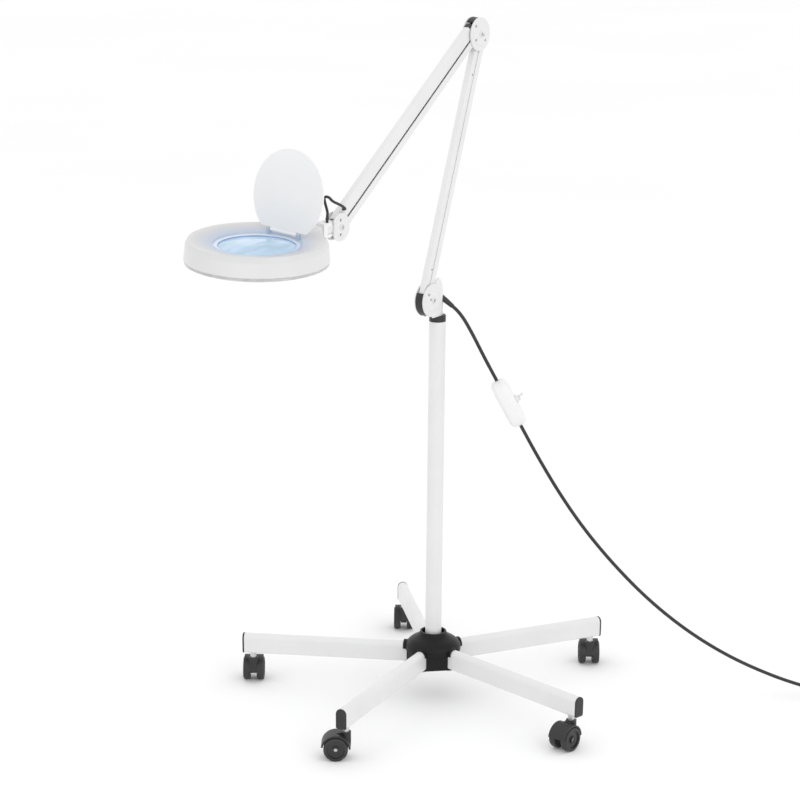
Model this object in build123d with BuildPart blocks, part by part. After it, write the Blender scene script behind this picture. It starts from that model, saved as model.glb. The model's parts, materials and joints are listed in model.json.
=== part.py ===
"""Magnifying lamp on a rolling five-leg stand.

Millimetres, +Z up.  The origin is on the floor, on the axis of the post.  Both arms move in the
XZ plane, with the head toward -X.  The mains lead leaves the lower joint toward LEAD_AZIMUTH.
"""

import os
from math import cos, pi, radians, sin, tan

from build123d import *

os.makedirs("parts", exist_ok=True)

# ---- driving dimensions -------------------------------------------------------------------
# rolling base
LEG_COUNT = 5
FIRST_LEG_AZIMUTH = -27.6
LEG_START, LEG_END = 25.0, 333.0
LEG_WIDTH, LEG_HEIGHT, LEG_WALL = 18.0, 34.0, 1.5
LEG_TOP = 95.0
LEG_DROOP = 5.0
STEM_DISTANCE = 318.0
STEM_RADIUS = 5.5
CASTER_AZIMUTHS = (35.0, 35.0, 35.0, 125.0, 174.0)
WHEEL_RADIUS, WHEEL_WIDTH, WHEEL_GAP = 20.0, 12.5, 5.8
CASTER_TRAIL = 16.0
AXLE_RADIUS = 3.0
HUB_APOTHEM = 41.5
HUB_BOTTOM, HUB_TOP = 57.0, 92.0

# post
POST_RADIUS, POST_WALL = 14.0, 1.5
POST_BOTTOM, POST_TOP = 66.0, 665.0
COLLAR_HEIGHT = 11.0
SWIVEL_PIN_RADIUS = 6.0

# arms
LOWER_LENGTH, UPPER_LENGTH = 440.0, 459.0
LOWER_ANGLE, UPPER_ANGLE = 70.3, 36.0
PLATE_INNER, PLATE_OUTER = 7.3, 9.5
JOINT_RADIUS = 28.0
HEAD_JOINT_RADIUS = 22.5
PIVOT_RADIUS = 2.5
RUNNING_FIT = 0.05
CHANNEL_HALF, CHANNEL_WALL = 5.7, 1.2
CHANNEL_UP, CHANNEL_DOWN = 8.0, 11.0
LINK_HALF, LINK_WALL = 7.0, 1.0
LINK_UP, LINK_DOWN = 4.7, 7.3
BASE_CENTRE = (-27.5, 706.0)
LOWER_PIVOT = (-13.1, 11.3)
LOWER_LINK_STEP = (5.0, -8.66)
ELBOW_LOWER_PIVOT = (7.0, -1.9)
ELBOW_UPPER_PIVOT = (-14.3, 14.2)
UPPER_LINK_STEP = (0.0, -22.6)
HEAD_UPPER_PIVOT = (-3.0, 11.3)
SWIVEL_REACH = 29.0

# head
HEAD_AZIMUTH = 169.1
HEAD_REACH = 138.0
HEAD_TOP = 873.0
HEAD_LEAN, LEAN_AZIMUTH = 4.1, 228.0
HOUSING_TOP_RADIUS, HOUSING_BOTTOM_RADIUS, HOUSING_HEIGHT = 108.0, 111.0, 30.0
RING_HEIGHT = 6.0
LENS_RADIUS = 63.5
TILT_DISTANCE = 22.0
COVER_RADIUS, COVER_THICKNESS, HINGE_CHORD = 70.5, 3.0, 57.0
HINGE_DISTANCE = 60.0
HINGE_TURN = 7.0
COVER_OPEN = 100.0

# mains lead
LEAD_AZIMUTH = -54.7
LEAD_RADIUS = 3.0
SWITCH_LENGTH, SWITCH_WIDTH, SWITCH_THICK = 87.0, 45.0, 28.0
COIL_INNER, COIL_OUTER, COIL_HEIGHT = 26.5, 39.5, 11.5
COIL_DISTANCE, COIL_ENTRY = 752.0, 36.0


# ---- helpers ------------------------------------------------------------------------------
def save(part, name):
    """Labels a finished piece and writes its STEP file."""
    part.label = name
    export_step(part, f"parts/{name}.step")


def polar(azimuth, distance, height=0.0):
    """A point at a plan azimuth and distance from the post axis."""
    return Vector(distance * cos(radians(azimuth)), distance * sin(radians(azimuth)), height)


def xz(point, depth=0.0):
    """A point of the arms' plane, moved sideways by depth."""
    return Vector(point[0], depth, point[1])


def plus(a, b, times=1.0):
    """Sum of two pairs, the second one scaled."""
    return (a[0] + times * b[0], a[1] + times * b[1])


def along(angle):
    """Unit pair at an angle above the +X direction in the arms' plane."""
    return (cos(radians(angle)), sin(radians(angle)))


def side_plane(origin, angle, up_sign):
    """Side view of an arm: local X runs along it, local Y to its upper side."""
    step = along(angle)
    return Plane(origin=xz(origin), x_dir=(step[0], 0, step[1]), z_dir=(0, -up_sign, 0))


def section_plane(origin, angle, up_sign):
    """Cross-section of an arm: local Y points to its upper side, the normal along it."""
    step = along(angle)
    return Plane(origin=xz(origin), x_dir=(0, up_sign, 0), z_dir=(step[0], 0, step[1]))


def joint_plane(centre, depth=0.0):
    """Plane parallel to the arms' plane: local X is +X, local Y is +Z, normal toward -Y."""
    return Plane(origin=xz(centre, depth), x_dir=(1, 0, 0), z_dir=(0, -1, 0))


# ---- joint positions ----------------------------------------------------------------------
lower_main = plus(BASE_CENTRE, LOWER_PIVOT)
lower_link_pivot = plus(lower_main, LOWER_LINK_STEP)
lower_top = plus(lower_main, along(LOWER_ANGLE), LOWER_LENGTH)
elbow_centre = plus(lower_top, ELBOW_LOWER_PIVOT, -1)
upper_main = plus(elbow_centre, ELBOW_UPPER_PIVOT)
upper_link_pivot = plus(upper_main, UPPER_LINK_STEP)
upper_end = plus(upper_main, along(180 + UPPER_ANGLE), UPPER_LENGTH)
head_joint_centre = plus(upper_end, HEAD_UPPER_PIVOT, -1)
swivel = (head_joint_centre[0] - SWIVEL_REACH, head_joint_centre[1])
swivel_point = xz(swivel)
head_dir = polar(HEAD_AZIMUTH, 1.0)
head_side = polar(HEAD_AZIMUTH - 90, 1.0)
head_axis = Vector(swivel_point.X, 0, 0) + head_dir * HEAD_REACH
tilt_point = swivel_point + head_dir * TILT_DISTANCE
hinge_dir = polar(HEAD_AZIMUTH + HINGE_TURN, 1.0)
hinge_side = polar(HEAD_AZIMUTH + HINGE_TURN - 90, 1.0)
hinge_point = head_axis - hinge_dir * HINGE_DISTANCE + Vector(0, 0, HEAD_TOP + 0.2)
lean_axis = Axis(origin=swivel_point, direction=polar(LEAN_AZIMUTH + 90, 1.0))


def leaned_dir(direction):
    """A direction of the head after the small lean of its neck."""
    return direction.rotate(Axis(origin=(0, 0, 0), direction=lean_axis.direction), HEAD_LEAN)


def leaned_point(point):
    """A point of the head after the small lean of its neck."""
    return swivel_point + leaned_dir(point - swivel_point)


def lean(part):
    """Turns a piece of the head with its neck."""
    return part.rotate(lean_axis, HEAD_LEAN)


head_up = leaned_dir(Vector(0, 0, 1))


# ---- rolling base -------------------------------------------------------------------------
def leg_plane(azimuth, distance):
    """Section plane of a leg: normal outward along it, local Y up, origin on its top line."""
    droop = LEG_DROOP / LEG_END
    outward = polar(azimuth, 1.0) - Vector(0, 0, droop)
    start = polar(azimuth, distance, LEG_TOP - droop * distance)
    return Plane(origin=start, x_dir=polar(azimuth + 90, 1.0), z_dir=outward)


def leg_section(grow=0.0):
    """Leg outline: full round top, small radii at the bottom, hanging from the top line."""
    half = LEG_WIDTH / 2 + grow
    with BuildSketch() as outline:
        with BuildLine():
            Line((-half, -LEG_WIDTH / 2), (-half, grow - LEG_HEIGHT - 2 * grow))
            Line((-half, grow - LEG_HEIGHT - 2 * grow), (half, grow - LEG_HEIGHT - 2 * grow))
            Line((half, grow - LEG_HEIGHT - 2 * grow), (half, -LEG_WIDTH / 2))
            ThreePointArc((half, -LEG_WIDTH / 2), (0, grow), (-half, -LEG_WIDTH / 2))
        make_face()
        if LEG_WIDTH / 2 + grow > 4:
            fillet(outline.vertices().group_by(Axis.Y)[0], 3.0)
    return outline.sketch


def make_leg(azimuth):
    """Drawn steel tube with a stem hole in its underside near the end."""
    stem_top = polar(azimuth, STEM_DISTANCE, LEG_TOP - 20)
    with BuildPart() as leg:
        with BuildSketch(leg_plane(azimuth, LEG_START)):
            add(leg_section())
            add(leg_section(-LEG_WALL), mode=Mode.SUBTRACT)
        extrude(amount=LEG_END - LEG_START)
        with BuildSketch(Plane(origin=stem_top, z_dir=(0, 0, -1))):
            Circle(STEM_RADIUS + 1.5)
        extrude(amount=30, mode=Mode.SUBTRACT)
    return leg.part


def make_insert(azimuth):
    """Black end cap with the block that holds the caster stem."""
    outer = leg_plane(azimuth, LEG_END)
    stem_bottom = polar(azimuth, STEM_DISTANCE, 40)
    with BuildPart() as insert:
        with BuildSketch(outer):
            add(leg_section(0.4))
        extrude(amount=3.0)
        fillet(insert.faces().sort_by(SortBy.DISTANCE, reverse=True)[0].edges(), 1.0)
        with BuildSketch(outer):
            add(leg_section(-LEG_WALL - 0.1))
        extrude(amount=-32.0)
        with BuildSketch(Plane.XY.offset(40)):
            with Locations((stem_bottom.X, stem_bottom.Y)):
                Circle(STEM_RADIUS + 0.06)
        extrude(amount=48, mode=Mode.SUBTRACT)
    return insert.part


def leg_azimuth(index):
    return FIRST_LEG_AZIMUTH + index * 360 / LEG_COUNT


for index in range(LEG_COUNT):
    save(make_leg(leg_azimuth(index)), f"leg_{index + 1}")

insert_group = Compound(children=[make_insert(leg_azimuth(k)) for k in range(LEG_COUNT)])
save(insert_group, "leg_inserts")


def make_hub_casting():
    """Five-sided casting: a pocket for each leg and the socket of the post."""
    with BuildPart() as casting:
        with BuildSketch(Plane.XY.offset(HUB_BOTTOM)):
            RegularPolygon(HUB_APOTHEM, LEG_COUNT, major_radius=False,
                           rotation=FIRST_LEG_AZIMUTH)
        extrude(amount=HUB_TOP - HUB_BOTTOM)
        with BuildSketch(Plane.XY.offset(HUB_BOTTOM)):
            Circle(49.0)
        extrude(amount=HUB_TOP - HUB_BOTTOM, mode=Mode.INTERSECT)
        chamfer(casting.faces().sort_by(Axis.Z)[0].edges(), 1.5)
        for index in range(LEG_COUNT):
            with BuildSketch(leg_plane(leg_azimuth(index), LEG_START - 0.5)):
                add(leg_section(0.1))
            extrude(amount=60, mode=Mode.SUBTRACT)
        with BuildSketch(Plane.XY.offset(POST_BOTTOM)):
            Circle(POST_RADIUS + 0.05)
        extrude(amount=60, mode=Mode.SUBTRACT)
        with BuildSketch(Plane.XY.offset(HUB_BOTTOM)):
            Circle(4.2)
        extrude(amount=20, mode=Mode.SUBTRACT)
        for index in range(LEG_COUNT):
            spot = polar(leg_azimuth(index), 38.0)
            with BuildSketch(Plane.XY.offset(HUB_BOTTOM - 1)):
                with Locations((spot.X, spot.Y)):
                    Circle(3.05)
            extrude(amount=8, mode=Mode.SUBTRACT)
    return casting.part


save(make_hub_casting(), "hub_casting")


def make_bolts():
    """Socket screws under the legs and the large bolt under the post."""
    solids = []
    for index in range(LEG_COUNT):
        spot = polar(leg_azimuth(index), 38.0)
        leg_bottom = LEG_TOP - LEG_DROOP * 38.0 / LEG_END - LEG_HEIGHT
        with BuildPart() as bolt:
            with BuildSketch(Plane.XY.offset(HUB_BOTTOM - 3.0)):
                with Locations((spot.X, spot.Y)):
                    Circle(5.0)
            extrude(amount=3.0)
            with BuildSketch(Plane.XY.offset(HUB_BOTTOM)):
                with Locations((spot.X, spot.Y)):
                    Circle(3.0)
            extrude(amount=leg_bottom - 0.3 - HUB_BOTTOM)
            with BuildSketch(Plane.XY.offset(HUB_BOTTOM - 3.0)):
                with Locations((spot.X, spot.Y)):
                    RegularPolygon(2.5, 6)
            extrude(amount=2.0, mode=Mode.SUBTRACT)
        solids.append(bolt.part)
    with BuildPart() as post_bolt:
        with BuildSketch(Plane.XY.offset(HUB_BOTTOM - 5.0)):
            RegularPolygon(8.0, 6)
        extrude(amount=5.0)
        with BuildSketch(Plane.XY.offset(HUB_BOTTOM)):
            Circle(4.0)
        extrude(amount=POST_BOTTOM - HUB_BOTTOM - 0.2)
    solids.append(post_bolt.part)
    return Compound(children=solids)


save(make_bolts(), "leg_bolts")


def make_shroud():
    """Domed cover round the post, with an arch over each leg and a cup at its top."""
    with BuildPart() as shroud:
        with BuildSketch(Plane.XZ):
            with BuildLine():
                Polyline((0, 84), (47.5, 84), (47.5, 92.5))
                Spline((47.5, 92.5), (36, 104.5), (22.5, 117), tangents=[(-0.45, 1), (-0.2, 1)])
                Line((22.5, 117), (0, 117))
                Line((0, 117), (0, 84))
            make_face()
        revolve(axis=Axis.Z)
        for index in range(LEG_COUNT):
            with BuildSketch(leg_plane(leg_azimuth(index), 8)):
                add(leg_section(3.0))
            extrude(amount=43)
        with BuildSketch(Plane.XY.offset(84 - 30)):
            Circle(90)
        extrude(amount=30, mode=Mode.SUBTRACT)
        with BuildSketch(Plane.XY.offset(80)):
            RegularPolygon(HUB_APOTHEM + 0.2, LEG_COUNT, major_radius=False,
                           rotation=FIRST_LEG_AZIMUTH)
        extrude(amount=HUB_TOP + 0.2 - 80, mode=Mode.SUBTRACT)
        for index in range(LEG_COUNT):
            with BuildSketch(leg_plane(leg_azimuth(index), LEG_START - 6)):
                add(leg_section(0.3))
            extrude(amount=60, mode=Mode.SUBTRACT)
        with BuildSketch(Plane.XZ):
            with BuildLine():
                Polyline((0, 80), (POST_RADIUS + 0.3, 80), (POST_RADIUS + 0.3, 106))
                Polyline((POST_RADIUS + 0.3, 106), (18.5, 107.5), (19.6, 118), (0, 118), (0, 80))
            make_face()
        revolve(axis=Axis.Z, mode=Mode.SUBTRACT)
    return shroud.part


save(make_shroud(), "hub_shroud")


# ---- casters ------------------------------------------------------------------------------
def caster_planes(index):
    """Axle point, travel direction and side direction of one caster."""
    stem = polar(leg_azimuth(index), STEM_DISTANCE)
    heading = polar(CASTER_AZIMUTHS[index], 1.0)
    side = polar(CASTER_AZIMUTHS[index] + 90, 1.0)
    axle = stem + heading * CASTER_TRAIL + Vector(0, 0, WHEEL_RADIUS)
    return stem, heading, side, axle


def make_hood(index):
    """Centre web with the stem boss, and a hood over the upper part of both wheels."""
    stem, heading, side, axle = caster_planes(index)
    web_half = WHEEL_GAP - 0.6
    hood_half = WHEEL_GAP + WHEEL_WIDTH - 2.0
    side_view = Plane(origin=axle, x_dir=heading, z_dir=side * -1)
    with BuildPart() as hood:
        with BuildSketch(side_view):
            with BuildLine():
                Polyline((-24, 3), (-24, 26), (-8, 26))
                Polyline((-8, 26), (0, 24.2), (0, 4), (6, -4), (-6, -8), (-24, 3))
            make_face()
            with Locations((0, 0)):
                Circle(7.5)
        extrude(amount=web_half, both=True)
        with BuildSketch(side_view):
            Circle(24.2)
            Circle(21.2, mode=Mode.SUBTRACT)
            with BuildLine():
                Polyline((0, 0), (40, 6), (40, 40), (-40, 40), (-40, 2), (0, 0))
            make_face(mode=Mode.INTERSECT)
        extrude(amount=hood_half, both=True)
        fillet(hood.edges().filter_by(GeomType.CIRCLE).sort_by(Axis.Z)[-1], 0.8)
        with BuildSketch(Plane(origin=stem + Vector(0, 0, 28), x_dir=heading, z_dir=(0, 0, 1))):
            Circle(8.5)
        extrude(amount=18.5)
        with BuildSketch(side_view):
            Circle(AXLE_RADIUS)
        extrude(amount=30, both=True, mode=Mode.SUBTRACT)
        with BuildSketch(Plane(origin=stem + Vector(0, 0, 30), x_dir=heading, z_dir=(0, 0, 1))):
            Circle(STEM_RADIUS)
        extrude(amount=30, mode=Mode.SUBTRACT)
        for sign in (1, -1):
            flank = Plane(origin=axle + side * sign * WHEEL_GAP, x_dir=heading, z_dir=side * sign)
            with BuildSketch(flank):
                Circle(WHEEL_RADIUS + 1.2)
            extrude(amount=WHEEL_WIDTH + 4, mode=Mode.SUBTRACT)
    return hood.part


def make_caster_pins(index):
    """Upright stem with its retaining groove, and the axle of the wheels."""
    stem, heading, side, axle = caster_planes(index)
    with BuildPart() as stem_pin:
        with BuildSketch(Plane(origin=stem + Vector(0, 0, 30), z_dir=(0, 0, 1))):
            Circle(STEM_RADIUS)
        extrude(amount=52)
        with BuildSketch(Plane(origin=stem + Vector(0, 0, 75), z_dir=(0, 0, 1))):
            Circle(STEM_RADIUS)
            Circle(STEM_RADIUS - 1, mode=Mode.SUBTRACT)
        extrude(amount=2.5, mode=Mode.SUBTRACT)
    with BuildPart() as axle_pin:
        with BuildSketch(Plane(origin=axle, x_dir=heading, z_dir=side)):
            Circle(AXLE_RADIUS)
        extrude(amount=WHEEL_GAP + WHEEL_WIDTH - 1.5, both=True)
    return Compound(children=[stem_pin.part, axle_pin.part])


def make_wheels(index):
    """Pair of rounded tread wheels with dished outer faces."""
    stem, heading, side, axle = caster_planes(index)
    solids = []
    for sign in (1, -1):
        flank = Plane(origin=axle + side * sign * WHEEL_GAP, x_dir=heading, z_dir=side * sign)
        with BuildPart() as wheel:
            with BuildSketch(flank):
                Circle(WHEEL_RADIUS)
            extrude(amount=WHEEL_WIDTH)
            fillet(wheel.edges().filter_by(GeomType.CIRCLE), 2.5)
            with BuildSketch(flank.offset(WHEEL_WIDTH - 2.0)):
                Circle(14.5)
                Circle(6.5, mode=Mode.SUBTRACT)
            extrude(amount=4, mode=Mode.SUBTRACT)
            with BuildSketch(flank):
                Circle(AXLE_RADIUS + RUNNING_FIT)
            extrude(amount=WHEEL_WIDTH, mode=Mode.SUBTRACT)
        solids.append(wheel.part)
    return Compound(children=solids)


for index in range(LEG_COUNT):
    save(make_hood(index), f"caster_{index + 1}_hood")
    save(make_caster_pins(index), f"caster_{index + 1}_pins")
    save(make_wheels(index), f"caster_{index + 1}_wheels")


# ---- post ---------------------------------------------------------------------------------
with BuildPart() as post_tube:
    with BuildSketch(Plane.XY.offset(POST_BOTTOM)):
        Circle(POST_RADIUS)
        Circle(POST_RADIUS - POST_WALL, mode=Mode.SUBTRACT)
    extrude(amount=POST_TOP - POST_BOTTOM)
save(post_tube.part, "post_tube")

with BuildPart() as post_bush:
    with BuildSketch(Plane.XY.offset(POST_TOP - 50)):
        Circle(POST_RADIUS - POST_WALL - 0.05)
    extrude(amount=50)
    with BuildSketch(Plane.XY.offset(POST_TOP)):
        Circle(POST_RADIUS)
    extrude(amount=COLLAR_HEIGHT)
    fillet(post_bush.edges().filter_by(GeomType.CIRCLE).group_by(Axis.Z)[-1], 1.2)
    with BuildSketch(Plane.XY.offset(POST_TOP - 50)):
        Circle(SWIVEL_PIN_RADIUS + 0.06)
    extrude(amount=50 + COLLAR_HEIGHT, mode=Mode.SUBTRACT)
save(post_bush.part, "post_bush")


# ---- joint housings -----------------------------------------------------------------------
def make_disc_plates(centre, radius):
    """Two round plates with softened rims and a raised screw boss."""
    with BuildPart() as plates:
        for sign in (1, -1):
            face = Plane(origin=xz(centre, sign * PLATE_INNER), x_dir=(1, 0, 0), z_dir=(0, sign, 0))
            with BuildSketch(face):
                Circle(radius)
            extrude(amount=PLATE_OUTER - PLATE_INNER, taper=12)
            with BuildSketch(face.offset(PLATE_OUTER - PLATE_INNER)):
                Circle(radius * 0.72)
            extrude(amount=1.4, taper=60)
            with BuildSketch(face.offset(PLATE_OUTER - PLATE_INNER + 0.5)):
                Circle(5.4)
            extrude(amount=3.0, taper=20)
    return plates.part


def make_screw_seats(centre):
    """Cutter for the recess and core hole of the cover screw in each plate boss."""
    with BuildPart() as seats:
        for sign in (1, -1):
            face = Plane(origin=xz(centre, sign * PLATE_INNER), x_dir=(1, 0, 0), z_dir=(0, sign, 0))
            with BuildSketch(face):
                Circle(1.5)
            extrude(amount=10)
            with BuildSketch(face.offset(3.6)):
                Circle(3.3)
            extrude(amount=5)
    return seats.part


def make_pivot_cutters(points, radius):
    """Cutters for pin holes across a joint."""
    with BuildPart() as cutters:
        for point in points:
            with BuildSketch(joint_plane(point, 20)):
                Circle(radius)
            extrude(amount=40)
    return cutters.part


def make_pivot_pins(points, centre):
    """Riveted pins through the arm pivots, and the two cover screws."""
    solids = []
    for point in points:
        with BuildPart() as pin:
            with BuildSketch(joint_plane(point, PLATE_OUTER - 0.7)):
                Circle(PIVOT_RADIUS)
            extrude(amount=2 * PLATE_OUTER - 1.4)
        solids.append(pin.part)
    for sign in (1, -1):
        face = Plane(origin=xz(centre, sign * PLATE_INNER), x_dir=(1, 0, 0), z_dir=(0, sign, 0))
        with BuildPart() as screw:
            with BuildSketch(face.offset(0.2)):
                Circle(1.5)
            extrude(amount=4.0)
            with BuildSketch(face.offset(3.6)):
                Circle(3.1)
            extrude(amount=1.6)
            fillet(screw.edges().filter_by(GeomType.CIRCLE).sort_by(Axis.Y)[-1 if sign > 0 else 0],
                   0.5)
            with BuildSketch(face.offset(4.2)):
                Rectangle(4.2, 0.8)
                Rectangle(0.8, 4.2)
            extrude(amount=2, mode=Mode.SUBTRACT)
        solids.append(screw.part)
    return solids


def make_rod(centre, direction, radius, half):
    """Plain pin about a centre point."""
    with BuildPart() as rod:
        with BuildSketch(Plane(origin=centre, z_dir=direction)):
            Circle(radius)
        extrude(amount=half, both=True)
    return rod.part


def make_guard(centre, start, end):
    """Black curved guard that closes the gap between the plates of a joint."""
    with BuildPart() as guard:
        with BuildSketch(joint_plane(centre, PLATE_INNER - 0.05)):
            Circle(27.3)
            Circle(25.7, mode=Mode.SUBTRACT)
            middle = radians((start + end) / 2)
            half = radians((end - start) / 2)
            reach = 60.0
            corners = [(0, 0)]
            for step in range(5):
                angle = middle - half + step * half / 2
                corners.append((reach * cos(angle), reach * sin(angle)))
            Polygon(*corners, align=None, mode=Mode.INTERSECT)
        extrude(amount=2 * PLATE_INNER - 0.1)
    return guard.part


# lower joint, which swivels on the post
ROOT_BLOCK_BACK, ROOT_BLOCK_FRONT = 7.0, -13.0
ROOT_BLOCK_TOP = 713.0
GLAND_START = polar(LEAD_AZIMUTH, 5.0, 707.0)
GLAND_SLOPE = 40.0
gland_axis = polar(LEAD_AZIMUTH, cos(radians(GLAND_SLOPE))) - Vector(0, 0, sin(radians(GLAND_SLOPE)))
base_pivots = (lower_main, lower_link_pivot)

with BuildPart() as arm_base_bracket:
    add(make_disc_plates(BASE_CENTRE, JOINT_RADIUS))
    for sign in (1, -1):
        ear_face = Plane(origin=xz(BASE_CENTRE, sign * PLATE_INNER), x_dir=(1, 0, 0),
                         z_dir=(0, sign, 0))
        turn = 1 if sign < 0 else -1
        with BuildSketch(ear_face):
            with BuildLine():
                Polyline((8, turn * 26), (10, turn * 33), (16, turn * 36), (21, turn * 32))
                Spline((21, turn * 32), (28, turn * 16), (27.5, 0))
                Polyline((27.5, 0), (24.5, turn * -8), (24.5, turn * -30), (0, turn * -30),
                         (0, 0), (8, turn * 26))
            make_face()
        extrude(amount=PLATE_OUTER - PLATE_INNER)
    with BuildSketch(Plane.XY.offset(POST_TOP + COLLAR_HEIGHT)):
        with Locations(((ROOT_BLOCK_BACK + ROOT_BLOCK_FRONT) / 2, 0)):
            Rectangle(ROOT_BLOCK_BACK - ROOT_BLOCK_FRONT, 2 * PLATE_INNER)
    extrude(amount=ROOT_BLOCK_TOP - POST_TOP - COLLAR_HEIGHT)
    fillet(arm_base_bracket.edges().filter_by(Axis.Z).sort_by(Axis.X)[-2:], 3.0)
    with BuildSketch(Plane.XY.offset(POST_TOP - 44)):
        Circle(SWIVEL_PIN_RADIUS)
    extrude(amount=44 + COLLAR_HEIGHT + 2)
    add(make_pivot_cutters(base_pivots, PIVOT_RADIUS), mode=Mode.SUBTRACT)
    add(make_screw_seats(BASE_CENTRE), mode=Mode.SUBTRACT)
    with BuildSketch(Plane(origin=GLAND_START, z_dir=gland_axis)):
        Circle(4.8)
    extrude(amount=40, mode=Mode.SUBTRACT)
save(arm_base_bracket.part, "arm_base_bracket")
save(make_guard(BASE_CENTRE, 148, 250), "arm_base_guard")
save(Compound(children=make_pivot_pins(base_pivots, BASE_CENTRE)), "arm_base_pins")

elbow_pivots = (lower_top, plus(lower_top, LOWER_LINK_STEP), upper_main, upper_link_pivot)
with BuildPart() as elbow_plates:
    add(make_disc_plates(elbow_centre, JOINT_RADIUS))
    add(make_pivot_cutters(elbow_pivots, PIVOT_RADIUS), mode=Mode.SUBTRACT)
    add(make_screw_seats(elbow_centre), mode=Mode.SUBTRACT)
save(elbow_plates.part, "elbow_plates")
save(make_guard(elbow_centre, -40, 128), "elbow_guard")
save(Compound(children=make_pivot_pins(elbow_pivots, elbow_centre)), "elbow_pins")

head_pivots = (upper_end, plus(upper_end, UPPER_LINK_STEP))


# ---- arms ---------------------------------------------------------------------------------
def arm_outline(plane, length, up, down, notch_start, notch_end, reach):
    """Side view of an arm bar: round nosed ends, sides lowered beside the other bar's pins."""
    with BuildSketch(plane) as outline:
        with Locations((length / 2, (up - down) / 2)):
            RectangleRounded(length + 2 * reach, up + down, min(reach, up, down) * 0.6)
        for centre, width, low, high in (notch_start, notch_end):
            with Locations((centre, (low + high) / 2)):
                Rectangle(width, high - low, mode=Mode.SUBTRACT)
    return outline.sketch


def make_bar(origin, angle, up_sign, length, half, wall, up, down, open_up, notches, reach,
             holes):
    """A folded U bar between two pivots, trimmed to its side view."""
    section = section_plane(origin, angle, up_sign)
    side = side_plane(origin, angle, up_sign)
    outline = arm_outline(side.offset(-20), length, up, down, notches[0], notches[1], reach)
    outer_middle = (up - down) / 2
    shift = wall if open_up else -wall
    with BuildPart() as bar:
        with BuildSketch(section.offset(-20)):
            with Locations((0, outer_middle)):
                RectangleRounded(2 * half, up + down, 1.6)
            with Locations((0, outer_middle + shift)):
                Rectangle(2 * (half - wall), up + down, mode=Mode.SUBTRACT)
            with Locations((0, up if open_up else -down)):
                Rectangle(2 * half + 2, 3.4, mode=Mode.SUBTRACT)
        extrude(amount=length + 40)
        lip_face = section.offset(-20)
        with BuildSketch(lip_face):
            for hand in (1, -1):
                with Locations((hand * (half - wall / 2), up - 0.85 if open_up else -down + 0.85)):
                    Rectangle(wall, 1.7)
        extrude(amount=length + 40)
        extrude(outline, amount=40, dir=(0, -up_sign, 0), mode=Mode.INTERSECT)
        for spot, radius in holes:
            with BuildSketch(side.offset(-20)):
                with Locations((spot, 0)):
                    Circle(radius)
            extrude(amount=40, mode=Mode.SUBTRACT)
    return bar.part


pin_hole = PIVOT_RADIUS + RUNNING_FIT
open_hole = PIVOT_RADIUS + 0.5
NO_NOTCH = (0, 1, 60, 61)

save(make_bar(lower_main, LOWER_ANGLE, 1, LOWER_LENGTH, CHANNEL_HALF, CHANNEL_WALL, CHANNEL_UP,
              CHANNEL_DOWN, False,
              ((-8.5, 15, -12, -2.8), (LOWER_LENGTH - 8, 18, -12, -2.8)), 9.5,
              ((0, pin_hole), (LOWER_LENGTH, pin_hole), (42, 1.6), (LOWER_LENGTH - 68, 1.6))),
     "lower_arm_channel")
save(make_bar(lower_link_pivot, LOWER_ANGLE, 1, LOWER_LENGTH, LINK_HALF, LINK_WALL, LINK_UP,
              LINK_DOWN, True, ((4, 26, 2.2, 8), (LOWER_LENGTH, 30, 2.2, 8)), 6.0,
              ((0, pin_hole), (LOWER_LENGTH, open_hole))),
     "lower_arm_link")
save(make_bar(upper_main, 180 + UPPER_ANGLE, -1, UPPER_LENGTH, CHANNEL_HALF, CHANNEL_WALL,
              CHANNEL_UP, CHANNEL_DOWN, False, ((-4, 34, 4.3, 12), NO_NOTCH), 6.8,
              ((0, pin_hole), (UPPER_LENGTH, pin_hole))),
     "upper_arm_channel")
save(make_bar(upper_link_pivot, 180 + UPPER_ANGLE, -1, UPPER_LENGTH, LINK_HALF, LINK_WALL,
              LINK_UP, LINK_DOWN, True, ((-1, 14, -8, -5.0), NO_NOTCH), 6.0,
              ((0, pin_hole), (UPPER_LENGTH, open_hole))),
     "upper_arm_link")


def make_spring(origin, angle, up_sign, start, length):
    """Close-wound tension spring inside the channel, as a sleeve, with its end loops."""
    section = section_plane(origin, angle, up_sign)
    with BuildPart() as spring:
        with BuildSketch(section.offset(start)):
            with Locations((0, -3.6)):
                Circle(3.2)
                Circle(2.0, mode=Mode.SUBTRACT)
        extrude(amount=length)
        for end in (start - 9, start + length - 1):
            with BuildSketch(section.offset(end)):
                with Locations((0, -1.1), (0, -6.1)):
                    Circle(0.6)
            extrude(amount=10)
    return spring.part


save(make_spring(lower_main, LOWER_ANGLE, 1, 60, 180), "lower_arm_spring")
save(make_spring(upper_main, 180 + UPPER_ANGLE, -1, 60, 180), "upper_arm_spring")

# black nose that closes the elbow end of the upper channel
with BuildPart() as upper_arm_nose:
    nose_plane = side_plane(upper_main, 180 + UPPER_ANGLE, -1).offset(-(CHANNEL_HALF))
    with BuildSketch(nose_plane):
        with BuildLine():
            Polyline((-3.5, 4.95), (2.0, 4.95), (12.9, 7.6), (12.9, 4.95), (-3.5, 4.95))
        make_face()
    extrude(amount=2 * CHANNEL_HALF)
save(upper_arm_nose.part, "upper_arm_nose")


# ---- cords held by the arm ----------------------------------------------------------------
def corner_radii(points, share=0.45):
    """Largest tangent arcs that the runs of a route allow, one for each inner point."""
    radii = []
    for before, here, after in zip(points, points[1:], points[2:]):
        into = here - before
        out = after - here
        turn = into.get_angle(out)
        radii.append(share * min(into.length, out.length) / tan(radians(turn) / 2))
    return radii


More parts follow.
